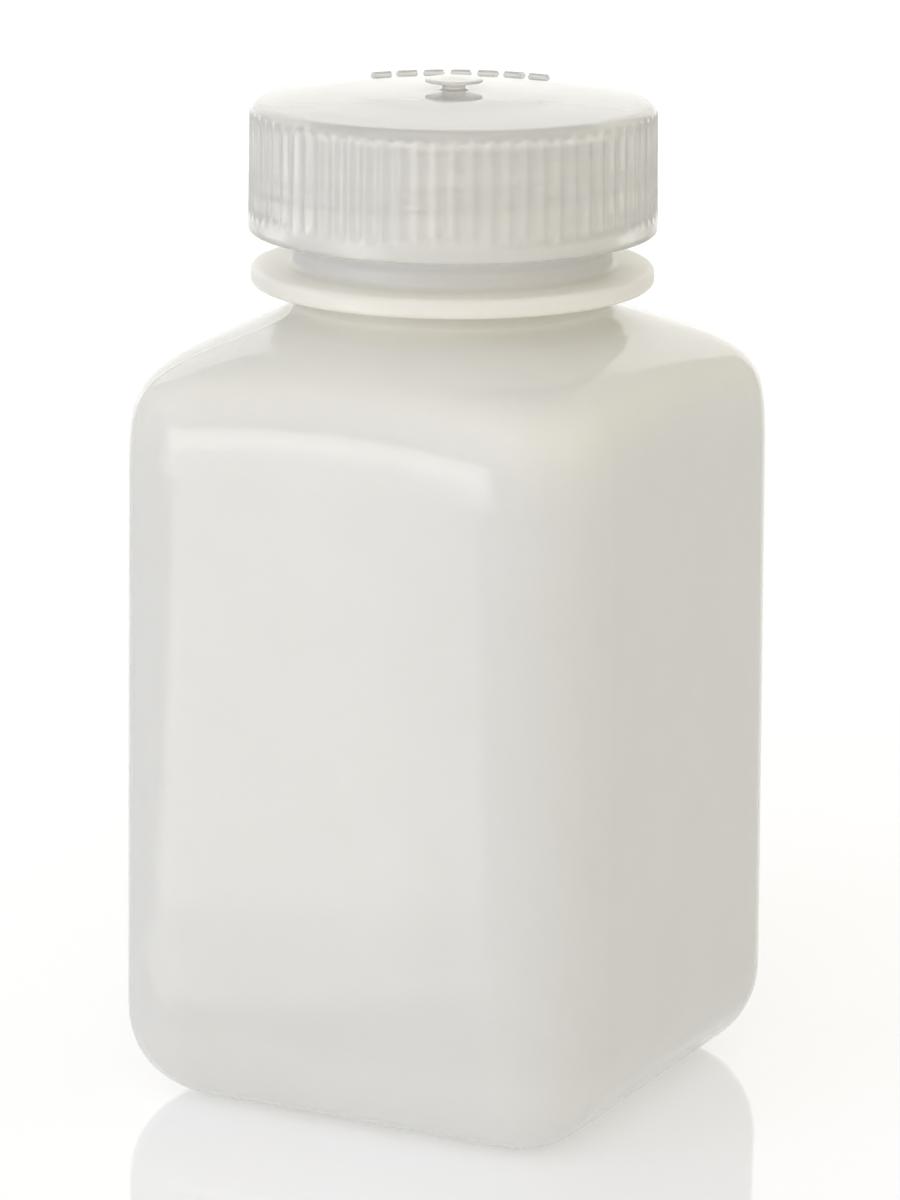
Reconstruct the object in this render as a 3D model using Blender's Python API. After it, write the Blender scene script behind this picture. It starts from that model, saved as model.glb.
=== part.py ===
"""Wide-mouth square reagent bottle with a ribbed screw cap and a sealing liner.

Units are metres and +Z is up. The origin is the centre of the base, on the surface the bottle stands on.
The bottle is one blow-moulded shell, the cap is one injection moulding, and the liner is a loose disc.
"""

import math

import bmesh
import bpy
import numpy as np

MM = 0.001

# Body: a square section with rounded corners, a little wider at its foot than at its shoulder.
HALF_WIDTH_SHOULDER = 33.5 * MM
HALF_WIDTH_FOOT = 33.9 * MM
CORNER_RADIUS = 12.0 * MM
BASE_FILLET = 12.0 * MM
RECESS_HALF_WIDTH = 17.9 * MM
RECESS_ROUND_RADIUS = 9.0 * MM
BASE_RECESS = 1.6 * MM
FOOT_CORNER_SHARE = 0.3
WALL = 1.3 * MM

# Shoulder: a dome of revolution run softly into the square body below and into the round neck above.
DOME_TOP_Z = 103.4 * MM
DOME_SPREAD_MM = 1.335
DOME_POWER = 1.55
EDGE_SOFTNESS = 3.6
ROOT_SOFTNESS = 16.0
ROOT_RUNOUT = 3.0
SHOULDER_DROP_INSIDE = 1.6 * MM
SHOULDER_HEIGHTS_MM = (84.0, 88.0, 91.0, 93.5, 95.6, 97.4, 99.0, 100.4, 101.6)
ROOT_HEIGHTS_MM = (102.5, 103.2, 104.0)
INSIDE_HEIGHTS_MM = (101.2, 99.8, 98.0, 96.0, 93.5, 90.5, 87.0, 83.0)

# Neck: a narrow waist, a support flange round it, and a wider threaded finish above it.
WAIST_RADIUS = 20.3 * MM
NECK_BORE = 18.6 * MM
FLANGE_RADIUS = 25.7 * MM
FLANGE_BOTTOM_Z = 105.5 * MM
FLANGE_TOP_Z = 107.9 * MM
FLANGE_EDGE = 0.6 * MM
FLANGE_ROOT = 0.9 * MM
FINISH_BOTTOM_Z = 112.9 * MM
FINISH_RADIUS = 22.0 * MM
FINISH_BORE = 20.2 * MM
FINISH_SLOPE = 1.5
RIM_Z = 125.6 * MM
RIM_EDGE = 0.5 * MM

# Screw thread: one start, right-handed, five threads to the inch, as on a 48 mm wide-mouth finish.
PITCH = 5.08 * MM
THREAD_MID_Z = 118.9 * MM
THREAD_MID_ANGLE = math.radians(48.6)
NECK_THREAD_TURNS = 1.8
NECK_THREAD_CREST = 23.6 * MM
CAP_THREAD_TURNS = 1.6
CAP_THREAD_CREST = 22.5 * MM
THREAD_ROOT_WIDTH = 2.5 * MM
THREAD_CREST_WIDTH = 1.2 * MM
THREAD_EMBED = 0.5 * MM
THREAD_STEPS_PER_TURN = 48
THREAD_RUNOUT_STEPS = 4
THREAD_END_SHARE = 0.15

# Cap: a plain band below, grip ribs above it that run over the top edge, a shallow crown, a gate button.
CAP_BOTTOM_Z = 112.4 * MM
CAP_RADIUS = 26.0 * MM
CAP_BORE = 24.2 * MM
CAP_RIM_CHAMFER = 0.3 * MM
BAND_HEIGHT = 2.3 * MM
RIB_COUNT = 72
RIB_DEPTH = 0.65 * MM
RIB_HALF_SHARE = 0.30
CAP_TAPER = 0.2 * MM
CROWN_EDGE_RADIUS = 25.1 * MM
CROWN_EDGE_Z = 128.7 * MM
CROWN_HEIGHT = 1.5 * MM
CROWN_SMOOTH_RADIUS = 21.2 * MM
CROWN_RING_RADII = (14.0 * MM, 7.5 * MM)
CAP_TOP_EDGE = 1.8 * MM
CAP_TOP_BULGE = 0.15 * MM
CAP_CEILING_Z = 127.2 * MM
CEILING_CROWN = 1.2 * MM
CEILING_MIDDLE_RADIUS = 4.0 * MM
CEILING_SLOPE_RADIUS = 14.0 * MM
CEILING_EDGE = 0.8 * MM
CAP_LEAD_IN = 0.5 * MM
BUTTON_RADIUS = 3.7 * MM
BUTTON_HEIGHT = 1.35 * MM
BUTTON_FILLET = 0.5 * MM
BUTTON_EDGE = 0.3 * MM

# Raised dashes: plain bars in an arc near the edge of the crown.
DASH_COUNT = 7
DASH_STEP = math.radians(10.0)
DASH_ARC_CENTRE = math.radians(114.7)
DASH_RADIUS = 20.4 * MM
DASH_LENGTH = 2.9 * MM
DASH_WIDTH = 1.1 * MM
DASH_HEIGHT = 0.5 * MM
DASH_TOP_SHARE = 0.9

# Liner: a flat foam disc held under the cap's ceiling, resting on the rim.
LINER_RADIUS = 23.4 * MM
LINER_THICKNESS = 1.0 * MM
LINER_EDGE = 0.2 * MM
CLEARANCE = 0.3 * MM

SHELL_COLUMNS = 64
SMOOTH_ANGLE = math.radians(32.0)


def clear_scene():
    for obj in list(bpy.data.objects):
        bpy.data.objects.remove(obj, do_unlink=True)


def plastic(name, colour, roughness, transmission):
    material = bpy.data.materials.new(name)
    material.use_nodes = True
    shader = material.node_tree.nodes["Principled BSDF"]
    shader.inputs["Base Color"].default_value = (*colour, 1.0)
    shader.inputs["Roughness"].default_value = roughness
    shader.inputs["Metallic"].default_value = 0.0
    shader.inputs["Transmission Weight"].default_value = transmission
    return material


def add_object(name, bm, location=(0.0, 0.0, 0.0)):
    bmesh.ops.recalc_face_normals(bm, faces=bm.faces)
    mesh = bpy.data.meshes.new(name)
    bm.to_mesh(mesh)
    bm.free()
    obj = bpy.data.objects.new(name, mesh)
    obj.location = location
    bpy.context.scene.collection.objects.link(obj)
    return obj


def finish_piece(obj, material):
    obj.data.materials.append(material)
    obj.data.shade_smooth()
    obj.data.set_sharp_from_angle(angle=SMOOTH_ANGLE)


def fuse(obj, helper):
    """Fuses a helper solid to a piece. The helper itself stays out of the finished model."""
    helper.hide_render = True
    helper.display_type = "WIRE"
    union = obj.modifiers.new("fuse_" + helper.name, "BOOLEAN")
    union.operation = "UNION"
    union.solver = "EXACT"
    union.object = helper


def angles(count):
    return np.arange(count) * 2.0 * math.pi / count


def add_ring(bm, theta, radius, z):
    radius = np.broadcast_to(radius, theta.shape)
    z = np.broadcast_to(z, theta.shape)
    return [bm.verts.new((r * math.cos(a), r * math.sin(a), h)) for a, r, h in zip(theta, radius, z)]


def bridge(bm, first, second):
    """Joins two rings with faces. The longer ring may hold several points for each of the shorter one's."""
    if len(first) < len(second):
        first, second = second, first
    share = len(first) // len(second)
    for i, corner in enumerate(second):
        following = second[(i + 1) % len(second)]
        run = [first[(share * i + k) % len(first)] for k in range(share + 1)]
        middle = (share + 1) // 2
        for k in range(share):
            if k + 1 == middle:
                bm.faces.new((run[k], run[k + 1], following, corner))
            elif k + 1 < middle:
                bm.faces.new((run[k], run[k + 1], corner))
            else:
                bm.faces.new((run[k], run[k + 1], following))


def fan(bm, ring, z):
    pole = bm.verts.new((0.0, 0.0, z))
    for i, vert in enumerate(ring):
        bm.faces.new((vert, ring[(i + 1) % len(ring)], pole))


def skin(bm, rings, first_pole_z, last_pole_z):
    """Makes one closed skin from a run of rings that starts and ends at a point on the axis."""
    for first, second in zip(rings, rings[1:]):
        bridge(bm, first, second)
    fan(bm, rings[0], first_pole_z)
    fan(bm, rings[-1], last_pole_z)


def square_radius(theta, half, corner):
    """Distance from the axis to a square of rounded corners, at each angle."""
    long_side = np.maximum(np.abs(np.cos(theta)), np.abs(np.sin(theta)))
    short_side = np.minimum(np.abs(np.cos(theta)), np.abs(np.sin(theta)))
    flat = half / long_side
    centre = half - corner
    along = centre * (long_side + short_side)
    arc = along + np.sqrt(np.maximum(along**2 - 2.0 * centre**2 + corner**2, 0.0))
    return np.where(flat * short_side > centre, arc, flat)


def dome_radius(z):
    depth_mm = (DOME_TOP_Z - z) / MM
    if depth_mm <= 0.0:
        return WAIST_RADIUS + ROOT_RUNOUT * depth_mm * MM
    return WAIST_RADIUS + DOME_SPREAD_MM * depth_mm**DOME_POWER * MM


def shoulder_radius(theta, z, inset, drop):
    """The dome cut softly by the square body. A drop lowers the dome, for the inner surface."""
    square = square_radius(theta, HALF_WIDTH_SHOULDER - inset, CORNER_RADIUS - inset)
    dome = dome_radius(z + drop)
    return (square**-EDGE_SOFTNESS + dome**-EDGE_SOFTNESS) ** (-1.0 / EDGE_SOFTNESS)


def neck_root_radius(theta, z):
    """The shoulder run into the waist of the neck with a soft hollow."""
    shoulder = shoulder_radius(theta, z, 0.0, 0.0) / WAIST_RADIUS
    return WAIST_RADIUS * (1.0 + shoulder**ROOT_SOFTNESS) ** (1.0 / ROOT_SOFTNESS)


def base_rings(bm, theta, inset, steps):
    """The foot's fillet, from the standing face up to the side wall, for a skin set in from the outside."""
    fillet = BASE_FILLET - inset
    rings = []
    for step in range(steps + 1):
        turn = 0.5 * math.pi * step / steps
        in_from_side = fillet * (1.0 - math.sin(turn))
        half = HALF_WIDTH_FOOT - inset - in_from_side
        corner = max(CORNER_RADIUS - inset - in_from_side, FOOT_CORNER_SHARE * CORNER_RADIUS)
        z = inset + fillet * (1.0 - math.cos(turn))
        rings.append(add_ring(bm, theta, square_radius(theta, half, corner), z))
    return rings


def shell_outside(bm, theta):
    recess_slope = square_radius(theta, 0.8 * RECESS_HALF_WIDTH, 0.6 * RECESS_HALF_WIDTH)
    recess_edge = square_radius(theta, RECESS_HALF_WIDTH, 0.5 * RECESS_HALF_WIDTH)
    rings = [
        add_ring(bm, theta, RECESS_ROUND_RADIUS, 0.94 * BASE_RECESS),
        add_ring(bm, theta, recess_slope, 0.6 * BASE_RECESS),
        add_ring(bm, theta, recess_edge, 0.0),
    ]
    rings += base_rings(bm, theta, 0.0, 5)
    for z in SHOULDER_HEIGHTS_MM:
        rings.append(add_ring(bm, theta, shoulder_radius(theta, z * MM, 0.0, 0.0), z * MM))
    for z in ROOT_HEIGHTS_MM:
        rings.append(add_ring(bm, theta, neck_root_radius(theta, z * MM), z * MM))
    return rings


def neck_outside(bm, theta):
    profile = (
        (WAIST_RADIUS, FLANGE_BOTTOM_Z - FLANGE_ROOT),
        (WAIST_RADIUS + FLANGE_ROOT, FLANGE_BOTTOM_Z),
        (FLANGE_RADIUS - FLANGE_EDGE, FLANGE_BOTTOM_Z),
        (FLANGE_RADIUS, FLANGE_BOTTOM_Z + FLANGE_EDGE),
        (FLANGE_RADIUS, FLANGE_TOP_Z - FLANGE_EDGE),
        (FLANGE_RADIUS - FLANGE_EDGE, FLANGE_TOP_Z),
        (WAIST_RADIUS + FLANGE_ROOT, FLANGE_TOP_Z),
        (WAIST_RADIUS, FLANGE_TOP_Z + FLANGE_ROOT),
        (WAIST_RADIUS, FINISH_BOTTOM_Z - FINISH_SLOPE * (FINISH_RADIUS - WAIST_RADIUS)),
        (FINISH_RADIUS, FINISH_BOTTOM_Z),
        (FINISH_RADIUS, RIM_Z - RIM_EDGE),
        (FINISH_RADIUS - RIM_EDGE, RIM_Z),
    )
    return [add_ring(bm, theta, radius, z) for radius, z in profile]


def neck_inside(bm, theta):
    profile = (
        (FINISH_BORE + RIM_EDGE, RIM_Z),
        (FINISH_BORE, RIM_Z - RIM_EDGE),
        (FINISH_BORE, FINISH_BOTTOM_Z),
        (NECK_BORE, FINISH_BOTTOM_Z - FINISH_SLOPE * (FINISH_BORE - NECK_BORE)),
        (NECK_BORE, DOME_TOP_Z - 0.5 * SHOULDER_DROP_INSIDE),
    )
    return [add_ring(bm, theta, radius, z) for radius, z in profile]


def shell_inside(bm, theta):
    rings = []
    for z in INSIDE_HEIGHTS_MM:
        radius = shoulder_radius(theta, z * MM, WALL, SHOULDER_DROP_INSIDE)
        rings.append(add_ring(bm, theta, np.maximum(radius, NECK_BORE), z * MM))
    foot = base_rings(bm, theta, WALL, 4)
    foot.reverse()
    rings += foot
    rings.append(add_ring(bm, theta, RECESS_ROUND_RADIUS, 0.94 * BASE_RECESS + WALL))
    return rings


def thread_ridge(name, mid_angle, turns, root_radius, crest_radius):
    """A helical ridge on the neck's outside or the cap's inside, sunk a little into its wall."""
    outward = 1.0 if crest_radius > root_radius else -1.0
    buried = root_radius - outward * THREAD_EMBED
    steps = round(turns * THREAD_STEPS_PER_TURN)
    bm = bmesh.new()
    sections = []
    for step in range(steps + 1):
        rise = min(1.0, step / THREAD_RUNOUT_STEPS, (steps - step) / THREAD_RUNOUT_STEPS)
        crest = buried + (crest_radius - buried) * (THREAD_END_SHARE + (1.0 - THREAD_END_SHARE) * rise)
        turn = (step / steps - 0.5) * turns
        angle = mid_angle + 2.0 * math.pi * turn
        z = THREAD_MID_Z + PITCH * turn
        half_root = 0.5 * THREAD_ROOT_WIDTH + 0.4 * THREAD_EMBED
        half_crest = 0.5 * THREAD_CREST_WIDTH
        outline = ((buried, -half_root), (crest, -half_crest), (crest, half_crest), (buried, half_root))
        sections.append(
            [bm.verts.new((r * math.cos(angle), r * math.sin(angle), z + dz)) for r, dz in outline]
        )
    for first, second in zip(sections, sections[1:]):
        bridge(bm, first, second)
    bm.faces.new(sections[0])
    bm.faces.new(sections[-1])
    return add_object(name, bm)


def make_bottle(material):
    theta = angles(SHELL_COLUMNS)
    bm = bmesh.new()
    rings = shell_outside(bm, theta) + neck_outside(bm, theta) + neck_inside(bm, theta)
    rings += shell_inside(bm, theta)
    skin(bm, rings, BASE_RECESS, BASE_RECESS + WALL)
    bottle = add_object("bottle", bm)
    ridge = thread_ridge(
        "neck_thread", THREAD_MID_ANGLE, NECK_THREAD_TURNS, FINISH_RADIUS, NECK_THREAD_CREST
    )
    finish_piece(bottle, material)
    fuse(bottle, ridge)
    return bottle


def crown_z(radius):
    return CROWN_EDGE_Z + CROWN_HEIGHT * (1.0 - (radius / CROWN_EDGE_RADIUS) ** 2)


def ribbed_ring(bm, crest_radius, crest_z, groove_radius, groove_z):
    """A ring of three points for each rib: the groove's bottom, then the two edges of the rib's crest."""
    step = 2.0 * math.pi / RIB_COUNT
    centres = (np.arange(RIB_COUNT) + 0.5) * step
    theta = np.stack([centres - 0.5 * step, centres - RIB_HALF_SHARE * step, centres + RIB_HALF_SHARE * step])
    radius = np.tile([[groove_radius], [crest_radius], [crest_radius]], RIB_COUNT)
    z = np.tile([[groove_z], [crest_z], [crest_z]], RIB_COUNT)
    return add_ring(bm, theta.T.ravel(), radius.T.ravel(), z.T.ravel())


def cap_outside(bm):
    band_top = CAP_BOTTOM_Z + BAND_HEIGHT
    shoulder_z = CROWN_EDGE_Z - CAP_TOP_EDGE
    top_radius = CAP_RADIUS - CAP_TAPER
    groove = CAP_RADIUS - RIB_DEPTH
    corner = 0.5 * (CROWN_SMOOTH_RADIUS + groove)
    edge_radius = 0.5 * (top_radius + CROWN_EDGE_RADIUS) + CAP_TOP_BULGE
    edge_z = 0.5 * (shoulder_z + CROWN_EDGE_Z) + CAP_TOP_BULGE
    profile = (
        (CAP_RADIUS - CAP_RIM_CHAMFER, CAP_BOTTOM_Z, CAP_RADIUS - CAP_RIM_CHAMFER, CAP_BOTTOM_Z),
        (CAP_RADIUS, CAP_BOTTOM_Z + CAP_RIM_CHAMFER, CAP_RADIUS, CAP_BOTTOM_Z + CAP_RIM_CHAMFER),
        (CAP_RADIUS, band_top, CAP_RADIUS, band_top),
        (CAP_RADIUS, band_top + RIB_DEPTH, groove, band_top + RIB_DEPTH),
        (top_radius, shoulder_z, groove - CAP_TAPER, shoulder_z - RIB_DEPTH),
        (edge_radius, edge_z, groove - 3.0 * CAP_TAPER, shoulder_z + RIB_DEPTH),
        (CROWN_EDGE_RADIUS, CROWN_EDGE_Z, corner, crown_z(corner) - 0.5 * RIB_DEPTH),
    )
    rings = [ribbed_ring(bm, *row) for row in profile]
    rings.append(add_ring(bm, angles(RIB_COUNT), CROWN_SMOOTH_RADIUS, crown_z(CROWN_SMOOTH_RADIUS)))
    return rings


def cap_crown(bm, theta):
    foot = BUTTON_RADIUS + BUTTON_FILLET
    button_top = crown_z(BUTTON_RADIUS) + BUTTON_HEIGHT
    profile = [(radius, crown_z(radius)) for radius in CROWN_RING_RADII]
    profile += [
        (foot, crown_z(foot)),
        (BUTTON_RADIUS, crown_z(foot) + BUTTON_FILLET),
        (BUTTON_RADIUS, button_top - BUTTON_EDGE),
        (BUTTON_RADIUS - BUTTON_EDGE, button_top),
    ]
    return [add_ring(bm, theta, radius, z) for radius, z in profile]


def cap_inside(bm, theta):
    profile = (
        (CEILING_MIDDLE_RADIUS, CAP_CEILING_Z + CEILING_CROWN),
        (CEILING_SLOPE_RADIUS, CAP_CEILING_Z + 0.7 * CEILING_CROWN),
        (CAP_BORE - CEILING_EDGE, CAP_CEILING_Z),
        (CAP_BORE, CAP_CEILING_Z - CEILING_EDGE),
        (CAP_BORE, CAP_BOTTOM_Z + CAP_LEAD_IN),
        (CAP_BORE + CAP_LEAD_IN, CAP_BOTTOM_Z),
    )
    return [add_ring(bm, theta, radius, z) for radius, z in profile]


def raised_dashes():
    """Plain bars standing on the crown, each a small block with a slightly narrower top."""
    bm = bmesh.new()
    for i in range(DASH_COUNT):
        angle = DASH_ARC_CENTRE + (i - 0.5 * (DASH_COUNT - 1)) * DASH_STEP
        out = np.array([math.cos(angle), math.sin(angle)])
        along = np.array([-out[1], out[0]])
        base_z = crown_z(DASH_RADIUS)
        rings = []
        for scale, z in ((1.0, base_z - DASH_HEIGHT), (DASH_TOP_SHARE, base_z + DASH_HEIGHT)):
            corners = []
            for u, v in ((-1, -1), (1, -1), (1, 1), (-1, 1)):
                spot = out * (DASH_RADIUS + 0.5 * scale * v * DASH_WIDTH)
                spot = spot + along * 0.5 * scale * u * DASH_LENGTH
                corners.append(bm.verts.new((*spot, z)))
            rings.append(corners)
        bridge(bm, *rings)
        bm.faces.new(rings[0])
        bm.faces.new(rings[1])
    return add_object("raised_dashes", bm)


def make_cap(material):
    theta = angles(RIB_COUNT)
    bm = bmesh.new()
    outside = cap_outside(bm) + cap_crown(bm, theta)
    inside = cap_inside(bm, theta)
    button_top = crown_z(BUTTON_RADIUS) + BUTTON_HEIGHT
    for first, second in zip(outside, outside[1:]):
        bridge(bm, first, second)
    for first, second in zip(inside, inside[1:]):
        bridge(bm, first, second)
    bridge(bm, inside[-1], outside[0])
    fan(bm, outside[-1], button_top)
    fan(bm, inside[0], CAP_CEILING_Z + CEILING_CROWN)
    cap = add_object("screw_cap", bm)
    ridge = thread_ridge(
        "cap_thread", THREAD_MID_ANGLE - math.pi, CAP_THREAD_TURNS, CAP_BORE, CAP_THREAD_CREST
    )
    finish_piece(cap, material)
    fuse(cap, ridge)
    fuse(cap, raised_dashes())
    return cap


def make_liner(material):
    theta = angles(RIB_COUNT)
    bottom = RIM_Z + CLEARANCE
    top = bottom + LINER_THICKNESS
    profile = (
        (LINER_RADIUS - LINER_EDGE, bottom),
        (LINER_RADIUS, bottom + LINER_EDGE),
        (LINER_RADIUS, top - LINER_EDGE),
        (LINER_RADIUS - LINER_EDGE, top),
    )
    bm = bmesh.new()
    rings = [add_ring(bm, theta, radius, z) for radius, z in profile]
    skin(bm, rings, bottom, top)
    liner = add_object("seal_liner", bm)
    finish_piece(liner, material)
    return liner


def main():
    clear_scene()
    make_bottle(plastic("natural_hdpe", (0.86, 0.85, 0.81), 0.38, 0.35))
    closure = bpy.data.objects.new("closure_axis", None)
    bpy.context.scene.collection.objects.link(closure)
    cap = make_cap(plastic("natural_polypropylene", (0.84, 0.84, 0.81), 0.30, 0.45))
    liner = make_liner(plastic("white_liner_foam", (0.93, 0.93, 0.91), 0.60, 0.0))
    cap.parent = closure
    liner.parent = closure


main()
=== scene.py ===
# The looks of a square wide-mouth reagent bottle: milky polyethylene shell, clearer ribbed cap, foam liner.
# Units are metres and +Z is up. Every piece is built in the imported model's own frame, round the same axis.

import math

import bpy
import numpy as np
from mathutils import Matrix, Vector


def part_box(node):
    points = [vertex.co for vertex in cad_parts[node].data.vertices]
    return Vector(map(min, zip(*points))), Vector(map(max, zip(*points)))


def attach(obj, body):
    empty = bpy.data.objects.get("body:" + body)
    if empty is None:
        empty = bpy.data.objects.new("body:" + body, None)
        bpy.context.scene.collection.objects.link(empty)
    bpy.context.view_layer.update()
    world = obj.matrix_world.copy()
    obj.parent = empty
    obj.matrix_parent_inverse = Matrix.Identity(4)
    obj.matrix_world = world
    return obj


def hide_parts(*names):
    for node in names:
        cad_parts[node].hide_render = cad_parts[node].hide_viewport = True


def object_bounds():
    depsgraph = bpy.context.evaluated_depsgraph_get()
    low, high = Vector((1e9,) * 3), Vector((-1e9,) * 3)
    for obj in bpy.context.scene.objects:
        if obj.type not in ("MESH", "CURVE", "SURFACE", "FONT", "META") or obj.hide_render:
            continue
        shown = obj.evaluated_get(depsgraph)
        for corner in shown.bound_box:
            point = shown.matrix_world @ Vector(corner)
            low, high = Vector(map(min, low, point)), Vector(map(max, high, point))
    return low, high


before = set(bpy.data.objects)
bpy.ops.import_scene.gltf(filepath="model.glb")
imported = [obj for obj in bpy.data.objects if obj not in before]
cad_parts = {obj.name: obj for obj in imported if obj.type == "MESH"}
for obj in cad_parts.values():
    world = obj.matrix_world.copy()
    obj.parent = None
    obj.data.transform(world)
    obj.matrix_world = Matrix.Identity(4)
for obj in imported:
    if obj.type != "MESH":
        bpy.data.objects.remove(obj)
cad_low, cad_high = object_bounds()
bottle_low, bottle_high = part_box("bottle")
cap_low, cap_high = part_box("screw_cap")
liner_low, liner_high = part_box("seal_liner")

MM = 0.001

# Body of the bottle: a square section with rounded corners.
HALF_WIDTH_FOOT = bottle_high.x
HALF_WIDTH_SHOULDER = HALF_WIDTH_FOOT - 0.4 * MM
CORNER_RADIUS = 12.0 * MM
BASE_FILLET = 12.0 * MM
FOOT_CORNER_SHARE = 0.3
RECESS_HALF_WIDTH = 17.9 * MM
RECESS_ROUND_RADIUS = 9.0 * MM
BASE_RECESS = 1.6 * MM
RECESS_CORNER_SHARE = 0.5
RECESS_EDGE_SHARE = 0.94
RECESS_BOWL_SHARE = 0.6
RECESS_BOWL_HALF_WIDTH = 0.8 * RECESS_HALF_WIDTH
RECESS_BOWL_CORNER = 0.6 * RECESS_HALF_WIDTH
WALL = 1.3 * MM
WALL_FOOT_Z = bottle_low.z + BASE_FILLET
WALL_TOP_Z = 84.0 * MM

# Traces of the mould: a parting line over two opposite corners, which ends in a pinch-off across the base.
PARTING_ANGLE = math.radians(45.0)
PARTING_HEIGHT = 0.09 * MM
PARTING_HALF_WIDTH = math.radians(0.3)
PINCH_HEIGHT = 0.35 * MM
PINCH_HALF_WIDTH = 0.6 * MM

# The foot is rubbed dull up to this height.
WEAR_TOP_Z = 3.0 * MM

# Shoulder: a dome of revolution run softly into the square body and into the round neck.
DOME_TOP_Z = 103.4 * MM
DOME_SPREAD_MM = 1.335
DOME_POWER = 1.55
EDGE_SOFTNESS = 3.6
ROOT_SOFTNESS = 16.0
ROOT_RUNOUT = 3.0
SHOULDER_DROP_INSIDE = 1.6 * MM
ROOT_TOP_Z = 104.5 * MM

# Neck: waist, support flange and threaded finish.
WAIST_RADIUS = 20.3 * MM
NECK_BORE = 18.6 * MM
FLANGE_RADIUS = 25.7 * MM
FLANGE_BOTTOM_Z = 105.5 * MM
FLANGE_TOP_Z = 107.9 * MM
FLANGE_EDGE = 0.8 * MM
FLANGE_ROOT = 0.9 * MM
FINISH_BOTTOM_Z = 112.9 * MM
FINISH_RADIUS = 22.0 * MM
FINISH_BORE = 20.2 * MM
FINISH_BLEND = 1.5
FINISH_FILLET = 1.5 * MM
BORE_FILLET = 2.0 * MM
FLANGE_UNDERSIDE_SHARE = 0.9
RIM_Z = bottle_high.z
RIM_EDGE = 0.5 * MM

# Screw thread: one start, right-handed. The cap's ridge lies half a pitch from the neck's.
PITCH = 5.08 * MM
THREAD_MID_Z = 118.9 * MM
THREAD_MID_ANGLE = math.radians(48.6)
NECK_THREAD_TURNS = 1.8
NECK_THREAD_CREST = 23.6 * MM
CAP_THREAD_TURNS = 1.6
CAP_THREAD_CREST = 22.5 * MM
THREAD_HALF_ROOT = 1.25 * MM
THREAD_HALF_CREST = 0.45 * MM
THREAD_RUNOUT_TURNS = 0.09

# Cap: plain band, grip ribs that run out under the top edge, shallow crown, gate button on a stem.
CAP_BOTTOM_Z = cap_low.z
CAP_RADIUS = cap_high.x
CAP_TAPER = 0.2 * MM
CAP_BORE = 24.2 * MM
CAP_RIM_FILLET = 0.35 * MM
BAND_HEIGHT = 2.3 * MM
RIB_COUNT = 72
RIB_DEPTH = 0.38 * MM
RIB_SAMPLES = 8
RIB_CONVEXITY = 0.7
RIB_TOP_Z = 127.9 * MM
RIB_RUNOUT = 0.9 * MM
CAP_TOP_FILLET = 1.7 * MM
CROWN_EDGE_RADIUS = CAP_RADIUS - 0.9 * MM
CROWN_EDGE_Z = 128.7 * MM
CROWN_HEIGHT = 1.5 * MM
CROWN_SMOOTH_RADIUS = 21.2 * MM
CAP_CEILING_Z = 127.2 * MM
CEILING_CROWN = 1.2 * MM
CEILING_FLAT_RADIUS = 14.0 * MM
CEILING_FILLET = 20.0 * MM
CEILING_CHAMFER = 0.8 * MM
BUTTON_RADIUS = 3.7 * MM
BUTTON_TOP_Z = cap_high.z
BUTTON_FOOT = 0.5 * MM
BUTTON_EDGE = 0.15 * MM
BUTTON_DISC = 0.36 * MM
STEM_RADIUS = 1.5 * MM

# Raised dashes near the edge of the crown.
DASH_COUNT = 7
DASH_STEP = math.radians(10.0)
DASH_ARC_CENTRE = math.radians(114.7)
DASH_RADIUS = 20.4 * MM
DASH_LENGTH = 2.9 * MM
DASH_WIDTH = 1.1 * MM
DASH_HEIGHT = 0.5 * MM
DASH_SOFT_EDGE = 0.25 * MM

# Liner: a flat foam disc with softly rounded edges.
LINER_RADIUS = liner_high.x
LINER_EDGE = 0.25 * MM

# Fineness of the meshes.
SHELL_COLUMNS = 240
ARC_STEPS = 6
BUTTON_ARC_STEPS = 3
LINER_COLUMNS = 144
AXIS_RADIUS = 0.4 * MM
RECESS_RINGS_MM = (0.6, 1.5, 3.0, 5.0, 7.0)
FOOT_STEPS = 20
WALL_STEPS = 29
SHOULDER_STEP = 0.5 * MM
EDGE_START_Z = 96.0 * MM
EDGE_STEP = 0.2 * MM
ROOT_START_Z = 101.0 * MM
ROOT_STEP = 0.16 * MM
NECK_STEP = 0.8 * MM
NECK_THREAD_STEP = 0.2 * MM
NECK_INSIDE_STEP = 1.5 * MM
INSIDE_DOME_TOP_MM = 101.4
INSIDE_DOME_BOTTOM_MM = 83.0
INSIDE_DOME_STEP_MM = 0.6
INSIDE_WALL_STEPS = 15
INSIDE_FOOT_STEPS = 10
SKIRT_STEP = 0.7 * MM
DASH_RING_STEP = 0.11 * MM
CROWN_RING_STEP = 1.6 * MM
BUTTON_STEP = 1.4 * MM
CEILING_STEP = 2.5 * MM
CAP_THREAD_STEP = 0.4 * MM
LINER_STEP = 1.0 * MM


def smooth_step(share):
    share = np.clip(share, 0.0, 1.0)
    return share * share * (3.0 - 2.0 * share)


def angles(count):
    return np.arange(count) * 2.0 * math.pi / count


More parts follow.
